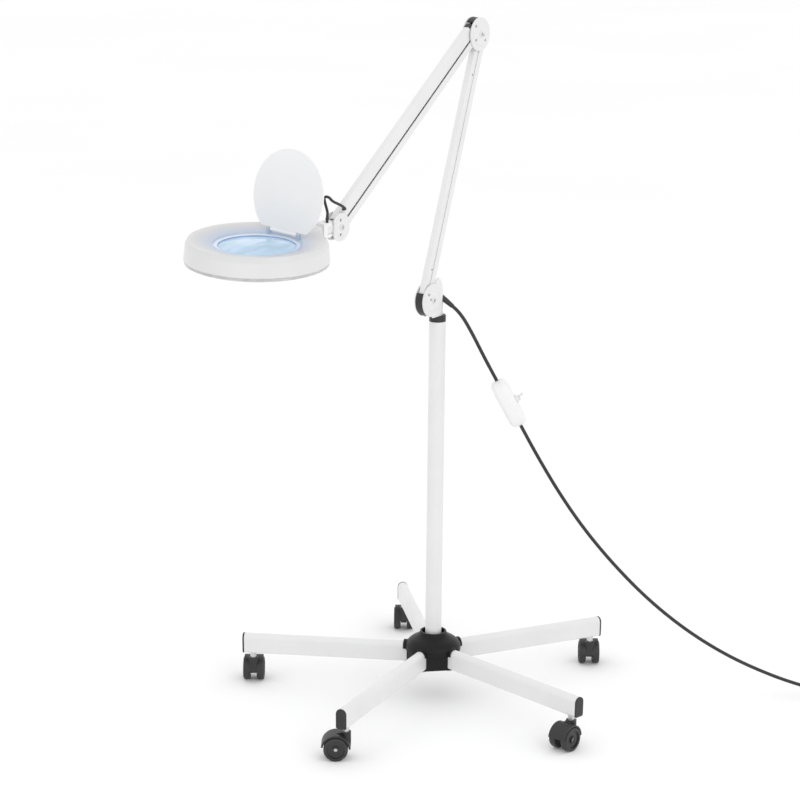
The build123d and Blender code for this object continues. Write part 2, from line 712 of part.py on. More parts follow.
def make_tube(name, points, radius):
    """Plain round tube along straight runs joined by tangent arcs."""
    radii = corner_radii(points)
    print(name, "arc radii", [round(value, 1) for value in radii])
    with BuildPart() as tube:
        with BuildLine():
            route = FilletPolyline(*points, radius=radii)
        start = points[1] - points[0]
        with BuildSketch(Plane(origin=points[0], z_dir=start)):
            Circle(radius)
        sweep(path=route)
    expected = pi * radius ** 2 * route.length
    print(name, "length", round(route.length, 1), "volume/expected",
          round(tube.part.volume / expected, 4))
    return tube.part


def on_arm(origin, angle, up_sign, distance, lift, depth=0.0):
    """A point placed along an arm, above its pivot line."""
    step = along(angle)
    upper = (-step[1] * up_sign, step[0] * up_sign)
    place = plus(plus(origin, step, distance), upper, lift)
    return xz(place, depth)


flex_spots = ((30, -9.0, 3.0), (80, -8.2, 2.6), (150, -8.8, -1.5), (230, -8.2, 1.0),
              (310, -8.8, -1.0), (380, -8.3, 0.8), (425, -8.8, 0.0))
flex_points = [on_arm(upper_main, 180 + UPPER_ANGLE, -1, *spot) for spot in flex_spots]
save(make_tube("upper_arm_flex", flex_points, 1.4), "upper_arm_flex")


# ---- head joint ---------------------------------------------------------------------------
KNUCKLE_RADIUS, KNUCKLE_HALF = 9.0, 6.0
PIN_RADIUS, HINGE_PIN_RADIUS = 3.0, 1.2
NECK_HALF_WIDTH, NECK_HALF_HEIGHT = 10.5, 12.0
BLOCK_FRONT, BLOCK_THICK, BLOCK_HEIGHT = 17.7, 4.7, 24.0
KNUCKLE_BRIDGE = 13.0
knuckle_reach = SWIVEL_REACH - BLOCK_FRONT + 2
swivel_plane = Plane(origin=swivel_point, x_dir=(1, 0, 0), z_dir=head_up)

with BuildPart() as head_bracket:
    add(make_disc_plates(head_joint_centre, HEAD_JOINT_RADIUS))
    with BuildSketch(Plane.XY.offset(swivel[1] - 16)):
        with Locations((head_joint_centre[0] - BLOCK_FRONT - 20, 0)):
            Rectangle(40, 60)
    extrude(amount=40, mode=Mode.SUBTRACT)
    with BuildSketch(joint_plane(head_joint_centre, PLATE_INNER)):
        with Locations((BLOCK_THICK / 2 - BLOCK_FRONT, 0)):
            Rectangle(BLOCK_THICK, BLOCK_HEIGHT)
    extrude(amount=2 * PLATE_INNER)
    with BuildSketch(swivel_plane.offset(-KNUCKLE_HALF)):
        with Locations((knuckle_reach / 2, 0)):
            Rectangle(knuckle_reach, KNUCKLE_BRIDGE)
        Circle(KNUCKLE_RADIUS)
    extrude(amount=2 * KNUCKLE_HALF)
    add(make_pivot_cutters(head_pivots, PIVOT_RADIUS), mode=Mode.SUBTRACT)
    add(make_screw_seats(head_joint_centre), mode=Mode.SUBTRACT)
    with BuildSketch(swivel_plane.offset(-20)):
        Circle(PIN_RADIUS)
    extrude(amount=40, mode=Mode.SUBTRACT)
save(head_bracket.part, "head_bracket")
swivel_pin = make_rod(swivel_point, head_up, PIN_RADIUS, NECK_HALF_HEIGHT - 0.3)
save(Compound(children=[*make_pivot_pins(head_pivots, head_joint_centre), swivel_pin]),
     "head_bracket_pins")

neck_plan = Plane(origin=swivel_point, x_dir=head_dir, z_dir=(0, 0, 1))
neck_side = Plane(origin=swivel_point, x_dir=head_dir, z_dir=head_side)
EAR_RADIUS, TONGUE_RADIUS = 8.0, 6.4
with BuildPart() as head_neck:
    with BuildSketch(neck_plan.offset(-NECK_HALF_HEIGHT)):
        Circle(NECK_HALF_WIDTH)
        with Locations((5.75, 0)):
            Rectangle(11.5, 2 * NECK_HALF_WIDTH)
    extrude(amount=2 * NECK_HALF_HEIGHT)
    chamfer(head_neck.faces().filter_by(Axis.Z).edges(), 1.2)
    with BuildSketch(neck_plan.offset(-KNUCKLE_HALF - 0.3)):
        Circle(KNUCKLE_RADIUS + 0.5)
        with Locations((-8, 0)):
            Rectangle(24, 60)
    extrude(amount=2 * KNUCKLE_HALF + 0.6, mode=Mode.SUBTRACT)
    with BuildSketch(neck_side):
        with Locations((TILT_DISTANCE, 0)):
            Circle(TONGUE_RADIUS)
        with Locations((TILT_DISTANCE / 2 + 4.9, 0)):
            Rectangle(TILT_DISTANCE - 9.8, 2 * TONGUE_RADIUS)
    extrude(amount=5.5, both=True)
    with BuildSketch(neck_plan.offset(-20)):
        Circle(PIN_RADIUS + 0.06)
    extrude(amount=40, mode=Mode.SUBTRACT)
    with BuildSketch(neck_side):
        with Locations((TILT_DISTANCE, 0)):
            Circle(PIN_RADIUS + 0.06)
    extrude(amount=20, both=True, mode=Mode.SUBTRACT)
save(lean(head_neck.part), "head_neck")

flex_entry = leaned_point(swivel_point + head_dir * 2 - head_side * 6.5
                          + Vector(0, 0, NECK_HALF_HEIGHT + 0.2))
cable_exit = on_arm(upper_main, 180 + UPPER_ANGLE, -1, UPPER_LENGTH - 19, 5.0, -CHANNEL_HALF - 0.02)
cable_points = [
    cable_exit,
    cable_exit - Vector(0, 7.5, 0),
    swivel_point + Vector(22, -13, 36.5),
    swivel_point + Vector(3, -12, 44),
    swivel_point + Vector(-6.5, -11.5, 53),
    swivel_point + Vector(-8.5, -3.5, 52),
    swivel_point + Vector(-3.5, -3, 40),
    swivel_point + Vector(0, -5, 27),
    flex_entry + head_up * 8,
    flex_entry,
]
save(make_tube("head_flex", cable_points, 2.0), "head_flex")


# ---- head ---------------------------------------------------------------------------------
head_plane = Plane(origin=head_axis, x_dir=head_dir * -1, z_dir=(0, 0, 1))
profile_plane = Plane(origin=head_axis, x_dir=head_dir * -1, z_dir=head_side)
head_line = Axis(origin=head_axis, direction=(0, 0, 1))
housing_bottom = HEAD_TOP - HOUSING_HEIGHT
DISH_RADIUS, DISH_DEPTH = 72.0, 5.0
BORE_RADIUS = 66.0


def head_profile(points):
    """Closed outline in the head's radial plane, from pairs of radius and height."""
    with BuildSketch(profile_plane) as profile:
        with BuildLine():
            Polyline(*points, points[0])
        make_face()
    return profile.sketch


def radial_sign():
    """Local Y of the radial plane points up or down, as its normal says."""
    return 1 if profile_plane.y_dir.Z > 0 else -1


def at(radius, height):
    """Point of the radial plane at a world height."""
    return (radius, radial_sign() * height)


with BuildPart() as head_housing:
    wall_mid = (HOUSING_TOP_RADIUS + HOUSING_BOTTOM_RADIUS) / 2
    add(head_profile([
        at(HOUSING_BOTTOM_RADIUS, housing_bottom), at(HOUSING_TOP_RADIUS + 0.5, HEAD_TOP - 6),
        at(HOUSING_TOP_RADIUS - 3, HEAD_TOP), at(HOUSING_TOP_RADIUS - 7, HEAD_TOP - 0.3),
        at(DISH_RADIUS, HEAD_TOP - DISH_DEPTH), at(BORE_RADIUS + 1, HEAD_TOP - DISH_DEPTH - 1),
        at(BORE_RADIUS, HEAD_TOP - DISH_DEPTH - 3), at(BORE_RADIUS, housing_bottom + 1),
        at(BORE_RADIUS + 2.2, housing_bottom + 1),
        at(BORE_RADIUS + 2.2, HEAD_TOP - DISH_DEPTH - 4.5),
        at(DISH_RADIUS + 2, HEAD_TOP - DISH_DEPTH - 2.6),
        at(HOUSING_TOP_RADIUS - 8, HEAD_TOP - 3), at(HOUSING_TOP_RADIUS - 2.5, HEAD_TOP - 7),
        at(HOUSING_BOTTOM_RADIUS - 2.4, housing_bottom),
    ]))
    revolve(axis=head_line)
    for sign in (1, -1):
        ear = Plane(origin=tilt_point + head_side * sign * 5.8, x_dir=head_dir,
                    z_dir=head_side * sign)
        with BuildSketch(ear):
            Circle(EAR_RADIUS)
            up = 1 if ear.y_dir.Z > 0 else -1
            drop = tilt_point.Z - HEAD_TOP
            with BuildLine():
                Polyline((0, up * EAR_RADIUS), (14, up * (EAR_RADIUS - 3)), (20, up * (-drop - 1)),
                         (11.5, up * (-drop - 8)), (9.6, up * (-drop - 22)),
                         (0, up * -EAR_RADIUS), (0, up * EAR_RADIUS))
            make_face()
        extrude(amount=NECK_HALF_WIDTH - 5.8)
        with BuildSketch(ear):
            Circle(PIN_RADIUS)
        extrude(amount=NECK_HALF_WIDTH, mode=Mode.SUBTRACT)
    for sign in (1, -1):
        knuckle = Plane(origin=hinge_point + hinge_side * sign * 30, x_dir=hinge_dir,
                        z_dir=hinge_side)
        with BuildSketch(knuckle):
            Circle(2.6)
            with Locations((0, -3.2 if knuckle.y_dir.Z > 0 else 3.2)):
                Rectangle(5.2, 6.4)
        extrude(amount=3.0, both=True)
        with BuildSketch(knuckle):
            Circle(HINGE_PIN_RADIUS)
        extrude(amount=6.0, both=True, mode=Mode.SUBTRACT)
save(lean(head_housing.part), "head_housing")

LENS_SEAT = HEAD_TOP - DISH_DEPTH - 8.0
LENS_EDGE, LENS_BULGE = 3.0, 5.0
LENS_SPHERE = (LENS_RADIUS ** 2 + LENS_BULGE ** 2) / (2 * LENS_BULGE)
sphere_shift = LENS_SPHERE - LENS_BULGE - LENS_EDGE / 2
with BuildPart() as lens:
    with BuildSketch(Plane(origin=head_axis + Vector(0, 0, LENS_SEAT - 10), z_dir=(0, 0, 1))):
        Circle(LENS_RADIUS)
    extrude(amount=20)
    with Locations(head_axis + Vector(0, 0, LENS_SEAT - sphere_shift)):
        Sphere(LENS_SPHERE, mode=Mode.INTERSECT)
    with Locations(head_axis + Vector(0, 0, LENS_SEAT + sphere_shift)):
        Sphere(LENS_SPHERE, mode=Mode.INTERSECT)
save(lean(lens.part), "lens")

with BuildPart() as lens_bezel:
    add(head_profile([
        at(BORE_RADIUS - 0.05, LENS_SEAT + 1.5), at(BORE_RADIUS - 0.05, LENS_SEAT + 4.5),
        at(LENS_RADIUS - 2.5, LENS_SEAT + 4.5), at(LENS_RADIUS - 3.5, LENS_SEAT + 3.6),
        at(LENS_RADIUS - 1.4, LENS_SEAT + 1.9), at(LENS_RADIUS + 0.05, LENS_SEAT + 1.6),
        at(LENS_RADIUS + 0.05, LENS_SEAT - 1.6), at(LENS_RADIUS - 1.4, LENS_SEAT - 1.9),
        at(LENS_RADIUS - 3.5, LENS_SEAT - 3.6), at(LENS_RADIUS - 2.5, LENS_SEAT - 4.5),
        at(BORE_RADIUS - 0.05, LENS_SEAT - 4.5),
    ]))
    revolve(axis=head_line)
save(lean(lens_bezel.part), "lens_bezel")

TUBE_RING_RADIUS, TUBE_RADIUS = 90.0, 7.0
with BuildPart() as ring_lamp:
    tube_height = housing_bottom + 10.5
    with BuildSketch(profile_plane):
        with Locations(at(TUBE_RING_RADIUS, tube_height)):
            Circle(TUBE_RADIUS)
    revolve(axis=head_line)
save(lean(ring_lamp.part), "ring_lamp")

with BuildPart() as bottom_ring:
    add(head_profile([
        at(BORE_RADIUS, housing_bottom), at(BORE_RADIUS, housing_bottom - 2.4),
        at(BORE_RADIUS + 4, housing_bottom - 4.0), at(HOUSING_BOTTOM_RADIUS - 6, housing_bottom - 4),
        at(HOUSING_BOTTOM_RADIUS - 3, housing_bottom - RING_HEIGHT),
        at(HOUSING_BOTTOM_RADIUS - 0.6, housing_bottom - RING_HEIGHT + 1.2),
        at(HOUSING_BOTTOM_RADIUS, housing_bottom),
    ]))
    revolve(axis=head_line)
save(lean(bottom_ring.part), "bottom_ring")

swing = radians(COVER_OPEN)
cover_out = hinge_dir * cos(swing) + Vector(0, 0, sin(swing))
cover_normal = cover_out.cross(hinge_side * -1)
if cover_normal.dot(hinge_dir) < 0:
    cover_normal = cover_normal * -1
cover_plane = Plane(origin=hinge_point, x_dir=cover_out, z_dir=cover_normal)
with BuildPart() as lens_cover:
    with BuildSketch(cover_plane.offset(-COVER_THICKNESS / 2)):
        with Locations((HINGE_CHORD, 0)):
            Circle(COVER_RADIUS)
        with Locations((-50 + 4.0, 0)):
            Rectangle(100, 200, mode=Mode.SUBTRACT)
    extrude(amount=COVER_THICKNESS)
    fillet(lens_cover.edges().filter_by(GeomType.CIRCLE), 1.0)
    with BuildSketch(Plane(origin=hinge_point, x_dir=cover_out, z_dir=hinge_side)):
        Circle(2.6)
        with Locations((3.0, 0)):
            Rectangle(6.0, COVER_THICKNESS)
    extrude(amount=26.5, both=True)
    with BuildSketch(Plane(origin=hinge_point, x_dir=cover_out, z_dir=hinge_side)):
        Circle(HINGE_PIN_RADIUS + 0.06)
    extrude(amount=30, both=True, mode=Mode.SUBTRACT)
save(lean(lens_cover.part), "lens_cover")


head_pins = [make_rod(hinge_point, hinge_side, HINGE_PIN_RADIUS, 33.0),
             make_rod(tilt_point, head_side, PIN_RADIUS, NECK_HALF_WIDTH)]
save(Compound(children=[lean(rod) for rod in head_pins]), "head_pins")


# ---- mains lead ---------------------------------------------------------------------------
def lead_at(distance, height, across=0.0):
    """Point of the lead's upright plane, moved sideways by across."""
    return polar(LEAD_AZIMUTH, distance, height) + polar(LEAD_AZIMUTH + 90, across)


GLAND_INSIDE, GLAND_LENGTH = 6.0, 26.0
gland_exit = GLAND_START + gland_axis * GLAND_LENGTH
with BuildPart() as lead_gland:
    with BuildSketch(Plane(origin=GLAND_START, z_dir=gland_axis)):
        Circle(4.75)
    extrude(amount=GLAND_INSIDE + 4)
    with BuildSketch(Plane(origin=GLAND_START + gland_axis * (GLAND_INSIDE + 4), z_dir=gland_axis)):
        Circle(4.75)
    extrude(amount=GLAND_LENGTH - GLAND_INSIDE - 4, taper=4)
save(lead_gland.part, "lead_gland")

SWITCH_SLOPE = 61.5
switch_axis = polar(LEAD_AZIMUTH, cos(radians(SWITCH_SLOPE))) - Vector(0, 0, sin(radians(SWITCH_SLOPE)))
switch_top_face = polar(LEAD_AZIMUTH, sin(radians(SWITCH_SLOPE))) + Vector(0, 0, cos(radians(SWITCH_SLOPE)))
switch_start = lead_at(101, 563)
upper_route = [gland_exit, gland_exit + gland_axis * 17, lead_at(58, 645),
               switch_start - switch_axis * 46, switch_start]
switch_end = switch_start + switch_axis * SWITCH_LENGTH
lower_route = [switch_end, switch_end + switch_axis * 56, lead_at(209, 370),
               lead_at(255, 303), lead_at(310, 237), lead_at(372, 174), lead_at(440, 119),
               lead_at(514, 73), lead_at(592, 38), lead_at(655, 17.5), lead_at(703, 6.5),
               lead_at(736, 3.4)]
save(make_tube("mains_lead_upper", upper_route, LEAD_RADIUS), "mains_lead_upper")
save(make_tube("mains_lead_lower", lower_route, LEAD_RADIUS), "mains_lead_lower")

switch_middle = switch_start + switch_axis * (SWITCH_LENGTH / 2)
switch_plane = Plane(origin=switch_middle, x_dir=switch_axis, z_dir=switch_top_face)
SPLIT_LEVEL = 1.0


def make_switch_half(name, top):
    """One shell of the in-line switch, cut at the seam and at the toggle."""
    with BuildPart() as shell:
        with BuildSketch(switch_plane.offset(-SWITCH_THICK / 2)):
            RectangleRounded(SWITCH_LENGTH, SWITCH_WIDTH, 21.0)
        extrude(amount=SWITCH_THICK)
        fillet(shell.faces().filter_by(Plane(origin=(0, 0, 0), z_dir=switch_top_face)).edges(), 9.0)
        with BuildSketch(switch_plane.offset(SPLIT_LEVEL)):
            Rectangle(200, 200)
        extrude(amount=-40 if top else 40, mode=Mode.SUBTRACT)
        with BuildSketch(switch_plane.offset(-SWITCH_THICK / 2 + 2)):
            RectangleRounded(SWITCH_LENGTH - 12, SWITCH_WIDTH - 12, 15.0)
        extrude(amount=SWITCH_THICK - 4, mode=Mode.SUBTRACT)
        with BuildSketch(switch_plane):
            Circle(6.0)
        extrude(amount=30, mode=Mode.SUBTRACT)
    save(shell.part, name)


make_switch_half("switch_top", True)
make_switch_half("switch_bottom", False)

toggle_base = switch_middle + switch_top_face * (SWITCH_THICK / 2)
with BuildPart() as toggle_bushing:
    bushing_plane = Plane(origin=toggle_base, x_dir=switch_axis, z_dir=switch_top_face)
    with BuildSketch(bushing_plane.offset(-8)):
        Circle(5.9)
    extrude(amount=8)
    with BuildSketch(bushing_plane.offset(0.1)):
        RegularPolygon(7.5, 6)
    extrude(amount=2.5)
    with BuildSketch(bushing_plane):
        Circle(5.0)
    extrude(amount=6.5)
    with BuildSketch(bushing_plane.offset(-5)):
        Circle(3.7)
    extrude(amount=20, mode=Mode.SUBTRACT)
save(toggle_bushing.part, "toggle_bushing")

TOGGLE_TILT = 14.0
TOGGLE_BARREL_RADIUS, TOGGLE_BARREL_HALF = 1.7, 3.0
toggle_dir = switch_top_face * cos(radians(TOGGLE_TILT)) - switch_axis * sin(radians(TOGGLE_TILT))
with BuildPart() as toggle_lever:
    with BuildSketch(Plane(origin=toggle_base, z_dir=toggle_dir)):
        Circle(1.3)
    extrude(amount=15.0, taper=-3)
    fillet(toggle_lever.edges().filter_by(GeomType.CIRCLE)
           .sort_by(SortBy.RADIUS)[-1], 0.9)
    with BuildSketch(Plane(origin=toggle_base, z_dir=polar(LEAD_AZIMUTH + 90, 1.0))):
        Circle(TOGGLE_BARREL_RADIUS)
    extrude(amount=TOGGLE_BARREL_HALF, both=True)
save(toggle_lever.part, "toggle_lever")

coil_centre = lead_at(COIL_DISTANCE, 0, COIL_ENTRY)
PLUG_REAR, TAIL_START, TAIL_HEIGHT = 714.0, 740.0, 7.5
plug_dir = polar(LEAD_AZIMUTH + 180, 1.0)
with BuildPart() as mains_lead_coil:
    with BuildSketch(Plane(origin=coil_centre, z_dir=(0, 0, 1))):
        Circle(COIL_OUTER)
        Circle(COIL_INNER, mode=Mode.SUBTRACT)
    extrude(amount=COIL_HEIGHT)
    fillet(mains_lead_coil.edges().filter_by(GeomType.CIRCLE), 2.5)
    with BuildSketch(Plane(origin=lead_at(TAIL_START, TAIL_HEIGHT, 2 * COIL_ENTRY), z_dir=plug_dir)):
        Circle(LEAD_RADIUS)
    extrude(amount=TAIL_START - PLUG_REAR)
save(mains_lead_coil.part, "mains_lead_coil")

PLUG_LENGTH, PLUG_WIDTH, PLUG_HEIGHT = 36.0, 27.0, 15.0
PLUG_PIN_RADIUS, PLUG_PIN_LENGTH, PLUG_PIN_PITCH = 2.4, 19.0, 18.6
plug_rear = lead_at(PLUG_REAR, 0, 2 * COIL_ENTRY)
with BuildPart() as plug:
    plug_plane = Plane(origin=plug_rear + plug_dir * (PLUG_LENGTH / 2), x_dir=plug_dir,
                       z_dir=(0, 0, 1))
    with BuildSketch(plug_plane):
        RectangleRounded(PLUG_LENGTH, PLUG_WIDTH, 5.0)
    extrude(amount=PLUG_HEIGHT)
    fillet(plug.faces().sort_by(Axis.Z)[-1].edges(), 4.0)
    pin_plane = Plane(origin=plug_rear + plug_dir * PLUG_LENGTH + Vector(0, 0, PLUG_HEIGHT / 2),
                      x_dir=polar(LEAD_AZIMUTH + 90, 1.0), z_dir=plug_dir)
    with BuildSketch(pin_plane):
        with Locations((-PLUG_PIN_PITCH / 2, 0), (PLUG_PIN_PITCH / 2, 0)):
            Circle(PLUG_PIN_RADIUS)
    extrude(amount=PLUG_PIN_LENGTH)
save(plug.part, "plug")
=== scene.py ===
import json
from math import cos, pi, radians, sin

import bmesh
import bpy
from mathutils import Matrix, Vector


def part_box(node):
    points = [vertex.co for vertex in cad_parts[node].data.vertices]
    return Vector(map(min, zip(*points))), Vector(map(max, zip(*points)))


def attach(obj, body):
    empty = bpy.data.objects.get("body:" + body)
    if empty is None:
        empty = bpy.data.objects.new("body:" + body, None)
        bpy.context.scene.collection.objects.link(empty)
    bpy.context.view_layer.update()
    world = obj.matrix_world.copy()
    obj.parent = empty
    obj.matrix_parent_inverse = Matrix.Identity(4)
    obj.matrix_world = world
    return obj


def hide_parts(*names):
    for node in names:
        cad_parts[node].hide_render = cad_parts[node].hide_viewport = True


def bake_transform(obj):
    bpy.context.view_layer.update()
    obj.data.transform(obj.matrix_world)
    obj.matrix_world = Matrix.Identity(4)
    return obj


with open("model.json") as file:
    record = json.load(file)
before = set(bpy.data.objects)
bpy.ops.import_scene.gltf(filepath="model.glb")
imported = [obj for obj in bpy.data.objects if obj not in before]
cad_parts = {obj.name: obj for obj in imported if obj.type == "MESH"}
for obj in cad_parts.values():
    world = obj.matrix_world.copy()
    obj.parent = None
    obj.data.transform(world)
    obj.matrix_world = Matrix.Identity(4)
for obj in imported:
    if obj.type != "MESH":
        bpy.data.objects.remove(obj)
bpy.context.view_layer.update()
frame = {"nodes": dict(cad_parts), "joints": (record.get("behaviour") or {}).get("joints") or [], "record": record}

nodes = frame["nodes"]
joints = {joint["name"]: joint for joint in frame["joints"]}
MM = 0.001


def joint_point(name):
    """Where a joint sits in the row frame."""
    return Vector(joints[name]["pos_m"])


def polar(azimuth, distance, height=0.0):
    """Point in metres from millimetres, at a plan azimuth from the post axis."""
    return Vector((distance * cos(radians(azimuth)), distance * sin(radians(azimuth)), height)) * MM


# ---- camera -------------------------------------------------------------------------------
VIEW_AZIMUTH = 35.3
VIEW_PITCH, VIEW_ROLL = 14.75, 0.56
CAMERA_PLACE = Vector((-3.226, -2.209, 1.557))


def add_camera():
    """Camera at the photograph's viewing angle."""
    data = bpy.data.cameras.new("camera")
    data.lens = 108.0
    data.sensor_width = 36.0
    data.clip_end = 60.0
    camera = bpy.data.objects.new("camera", data)
    bpy.context.scene.collection.objects.link(camera)
    ahead = Vector((cos(radians(VIEW_AZIMUTH)), sin(radians(VIEW_AZIMUTH)), 0))
    look = ahead * cos(radians(VIEW_PITCH)) - Vector((0, 0, sin(radians(VIEW_PITCH))))
    right = look.cross(Vector((0, 0, 1))).normalized()
    up = right.cross(look)
    roll = radians(VIEW_ROLL)
    rolled_right = right * cos(roll) + up * sin(roll)
    rolled_up = up * cos(roll) - right * sin(roll)
    turn = Matrix((rolled_right, rolled_up, -look)).transposed()
    camera.matrix_world = Matrix.Translation(CAMERA_PLACE) @ turn.to_4x4()
    bpy.context.scene.camera = camera


add_camera()


# ---- curves and meshes --------------------------------------------------------------------
def add_object(name, data, body=None):
    """Links new data as a piece that rides on a body."""
    piece = bpy.data.objects.new(name, data)
    bpy.context.scene.collection.objects.link(piece)
    if body:
        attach(piece, body)
    return piece


def nurbs_curve(name, points, radius):
    """Round cord along one open NURBS spline; its points carry the radius of the cord."""
    curve = bpy.data.curves.new(name, "CURVE")
    curve.dimensions = "3D"
    curve.bevel_depth = 1.0
    curve.bevel_resolution = 5
    curve.use_fill_caps = True
    curve.resolution_u = 10
    spline = curve.splines.new("NURBS")
    spline.points.add(len(points) - 1)
    for control, place in zip(spline.points, points):
        control.co = (*place, 1.0)
        control.radius = radius
    spline.order_u = 3
    spline.use_endpoint_u = True
    return curve


def tube_mesh(name, points, radius, steps=10, round_steps=5):
    """Mesh of the same round cord, for a wire or a flex that the lamp holds."""
    curve = nurbs_curve(name + "_curve", points, radius)
    curve.resolution_u = steps
    curve.bevel_resolution = round_steps
    source = bpy.data.objects.new(name + "_curve", curve)
    mesh = bpy.data.meshes.new_from_object(source)
    mesh.name = name
    bpy.data.objects.remove(source)
    bpy.data.curves.remove(curve)
    for face in mesh.polygons:
        face.use_smooth = len(face.vertices) == 4
    return mesh


def lathe(name, profile, centre, axis, segments=96):
    """Closed solid of revolution from pairs of radius and height along the axis."""
    axis = Vector(axis).normalized()
    side = axis.orthogonal().normalized()
    other = axis.cross(side)
    mesh = bpy.data.meshes.new(name)
    bm = bmesh.new()
    rings = []
    for radius, height in profile:
        if radius < 1e-7:
            rings.append([bm.verts.new(centre + axis * height)])
            continue
        ring = []
        for k in range(segments):
            a = 2 * pi * k / segments
            ring.append(bm.verts.new(centre + axis * height
                                     + (side * cos(a) + other * sin(a)) * radius))
        rings.append(ring)
    for low, high in zip(rings, rings[1:]):
        for k in range(segments):
            n = (k + 1) % segments
            if len(low) == 1:
                bm.faces.new((low[0], high[n], high[k]))
            elif len(high) == 1:
                bm.faces.new((low[k], low[n], high[0]))
            else:
                bm.faces.new((low[k], low[n], high[n], high[k]))
    bmesh.ops.recalc_face_normals(bm, faces=bm.faces)
    bm.to_mesh(mesh)
    bm.free()
    for face in mesh.polygons:
        face.use_smooth = True
    return mesh


# ---- mains lead ---------------------------------------------------------------------------
LEAD_AZIMUTH = -54.7
LEAD_RADIUS = 3.0
COIL_CENTRE, COIL_ACROSS, COIL_RADIUS = 752.0, 36.0, 36.0
COIL_TURNS, POINTS_PER_TURN = 3.5, 16
PLUG_REAR, PLUG_BITE, PLUG_MIDDLE_HEIGHT = 714.0, 3.0, 7.5


def lead_at(distance, height, across=0.0):
    """Point of the lead's upright plane, moved sideways by across, from millimetres."""
    return polar(LEAD_AZIMUTH, distance, height) + polar(LEAD_AZIMUTH + 90, across)


LEAD_ROUTE = (
    (24.9, 690.3), (37.9, 679.4), (58, 645), (79.1, 603.4), (101, 563), (142.5, 486.5),
    (169.2, 437.3), (209, 370), (255, 303), (310, 237), (372, 174), (440, 119), (514, 73),
    (592, 38), (655, 17.5), (703, 6.5), (736, 3.4),
)


def eased(value, start, length):
    """0 before start, 1 after start + length, and a straight rise between them."""
    return min(max((value - start) / length, 0.0), 1.0)


def coil_points():
    """Turns of the coil: two on the floor, one inside the other, and the rest on top of them."""
    points = []
    for step in range(int(COIL_TURNS * POINTS_PER_TURN) + 1):
        turns = step / POINTS_PER_TURN
        lift = eased(turns, 1.9, 0.5)
        inward = eased(turns, 0.7, 0.5)
        outward = lift + eased(turns, 3.0, 0.4)
        radius = COIL_RADIUS - 2 * LEAD_RADIUS * inward + LEAD_RADIUS * outward
        height = LEAD_RADIUS + 5.8 * lift
        angle = radians(-90) + 2 * pi * turns
        points.append(lead_at(COIL_CENTRE + radius * cos(angle), height,
                              COIL_ACROSS + radius * sin(angle)))
    return points


route = [lead_at(*spot) for spot in LEAD_ROUTE] + coil_points()
route += [lead_at(734, 8.4, 2 * COIL_ACROSS),
          lead_at(PLUG_REAR - PLUG_BITE, PLUG_MIDDLE_HEIGHT, 2 * COIL_ACROSS)]
mains_lead = add_object("mains_lead", nurbs_curve("mains_lead", route, LEAD_RADIUS * MM),
                        "arm_base")
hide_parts("mains_lead_upper", "mains_lead_lower", "mains_lead_coil")


# ---- flex held by the arm -----------------------------------------------------------------
def on_arm(main, far, distance, lift, depth=0.0):
    """Point beside an arm: along it from the main pivot, above its pivot line, and aside."""
    step = (far - main).normalized()
    upper = Vector((-step.z, 0, step.x))
    if upper.z < 0:
        upper = -upper
    return main + step * distance * MM + upper * lift * MM + Vector((0, depth, 0)) * MM


upper_main, upper_end = joint_point("upper_arm_tilt"), joint_point("head_level")
neck_point = joint_point("neck_swivel")
head_up = Vector(joints["neck_swivel"]["axis"])
head_side = Vector(joints["head_tilt"]["axis"])
head_dir = (joint_point("head_tilt") - neck_point).normalized()
arm_length = (upper_end - upper_main).length / MM
CHANNEL_SIDE = 5.7
FLEX_RADIUS, ARM_FLEX_RADIUS = 2.2, 1.4
EXIT_BEFORE_END, EXIT_LIFT, EXIT_REACH = 19.0, 5.0, 7.5


def by_neck(x, y, z):
    """Point in millimetres from the neck's swivel."""
    return neck_point + Vector((x, y, z)) * MM


def add_head_flex():
    """Loop of flex from the arm's side over to the neck, in two spans that meet on the bracket."""
    arm_exit = on_arm(upper_main, upper_end, arm_length - EXIT_BEFORE_END, EXIT_LIFT,
                      -CHANNEL_SIDE)
    entry = neck_point + (head_dir * 2 - head_side * 6.5 + head_up * 12.2) * MM
    rise = [arm_exit, arm_exit - Vector((0, EXIT_REACH, 0)) * MM, by_neck(22, -13, 36.5),
            by_neck(3, -12, 44)]
    fall = [by_neck(-6.5, -11.5, 53), by_neck(-8.5, -3.5, 52), by_neck(-3.5, -3, 40),
            by_neck(0, -5, 27), entry + head_up * 8 * MM, entry]
    middle = (rise[-1] + fall[0]) / 2
    arm_span = add_object("head_flex_arm_span",
                          tube_mesh("head_flex_arm_span", rise + [middle], FLEX_RADIUS * MM))
    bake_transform(arm_span)
    neck_span = add_object("head_flex_neck_span",
                           tube_mesh("head_flex_neck_span", [middle] + fall, FLEX_RADIUS * MM))
    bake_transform(neck_span)
    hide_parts("head_flex")
    return [arm_span, neck_span]


head_flex_spans = add_head_flex()

ARM_FLEX_SPOTS = ((30, -9.0, 3.0), (80, -8.2, 2.6), (150, -8.8, -1.5), (230, -8.2, 1.0),
                  (310, -8.8, -1.0), (380, -8.3, 0.8), (425, -8.8, 0.0))
arm_flex_route = [on_arm(upper_main, upper_end, *spot) for spot in ARM_FLEX_SPOTS]
arm_flex = add_object("arm_flex", tube_mesh("arm_flex", arm_flex_route, ARM_FLEX_RADIUS * MM),
                      "upper_arm")
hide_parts("upper_arm_flex")


# ---- arm springs --------------------------------------------------------------------------
SPRING_TURNS, SPRING_STEPS = 86, 12
SPRING_START, SPRING_LENGTH, SPRING_DEPTH = 60.0, 180.0, -3.6
SPRING_RADIUS, WIRE_RADIUS = 2.6, 0.6
HOOK_NEAR, HOOK_FAR = 3.0, 8.0


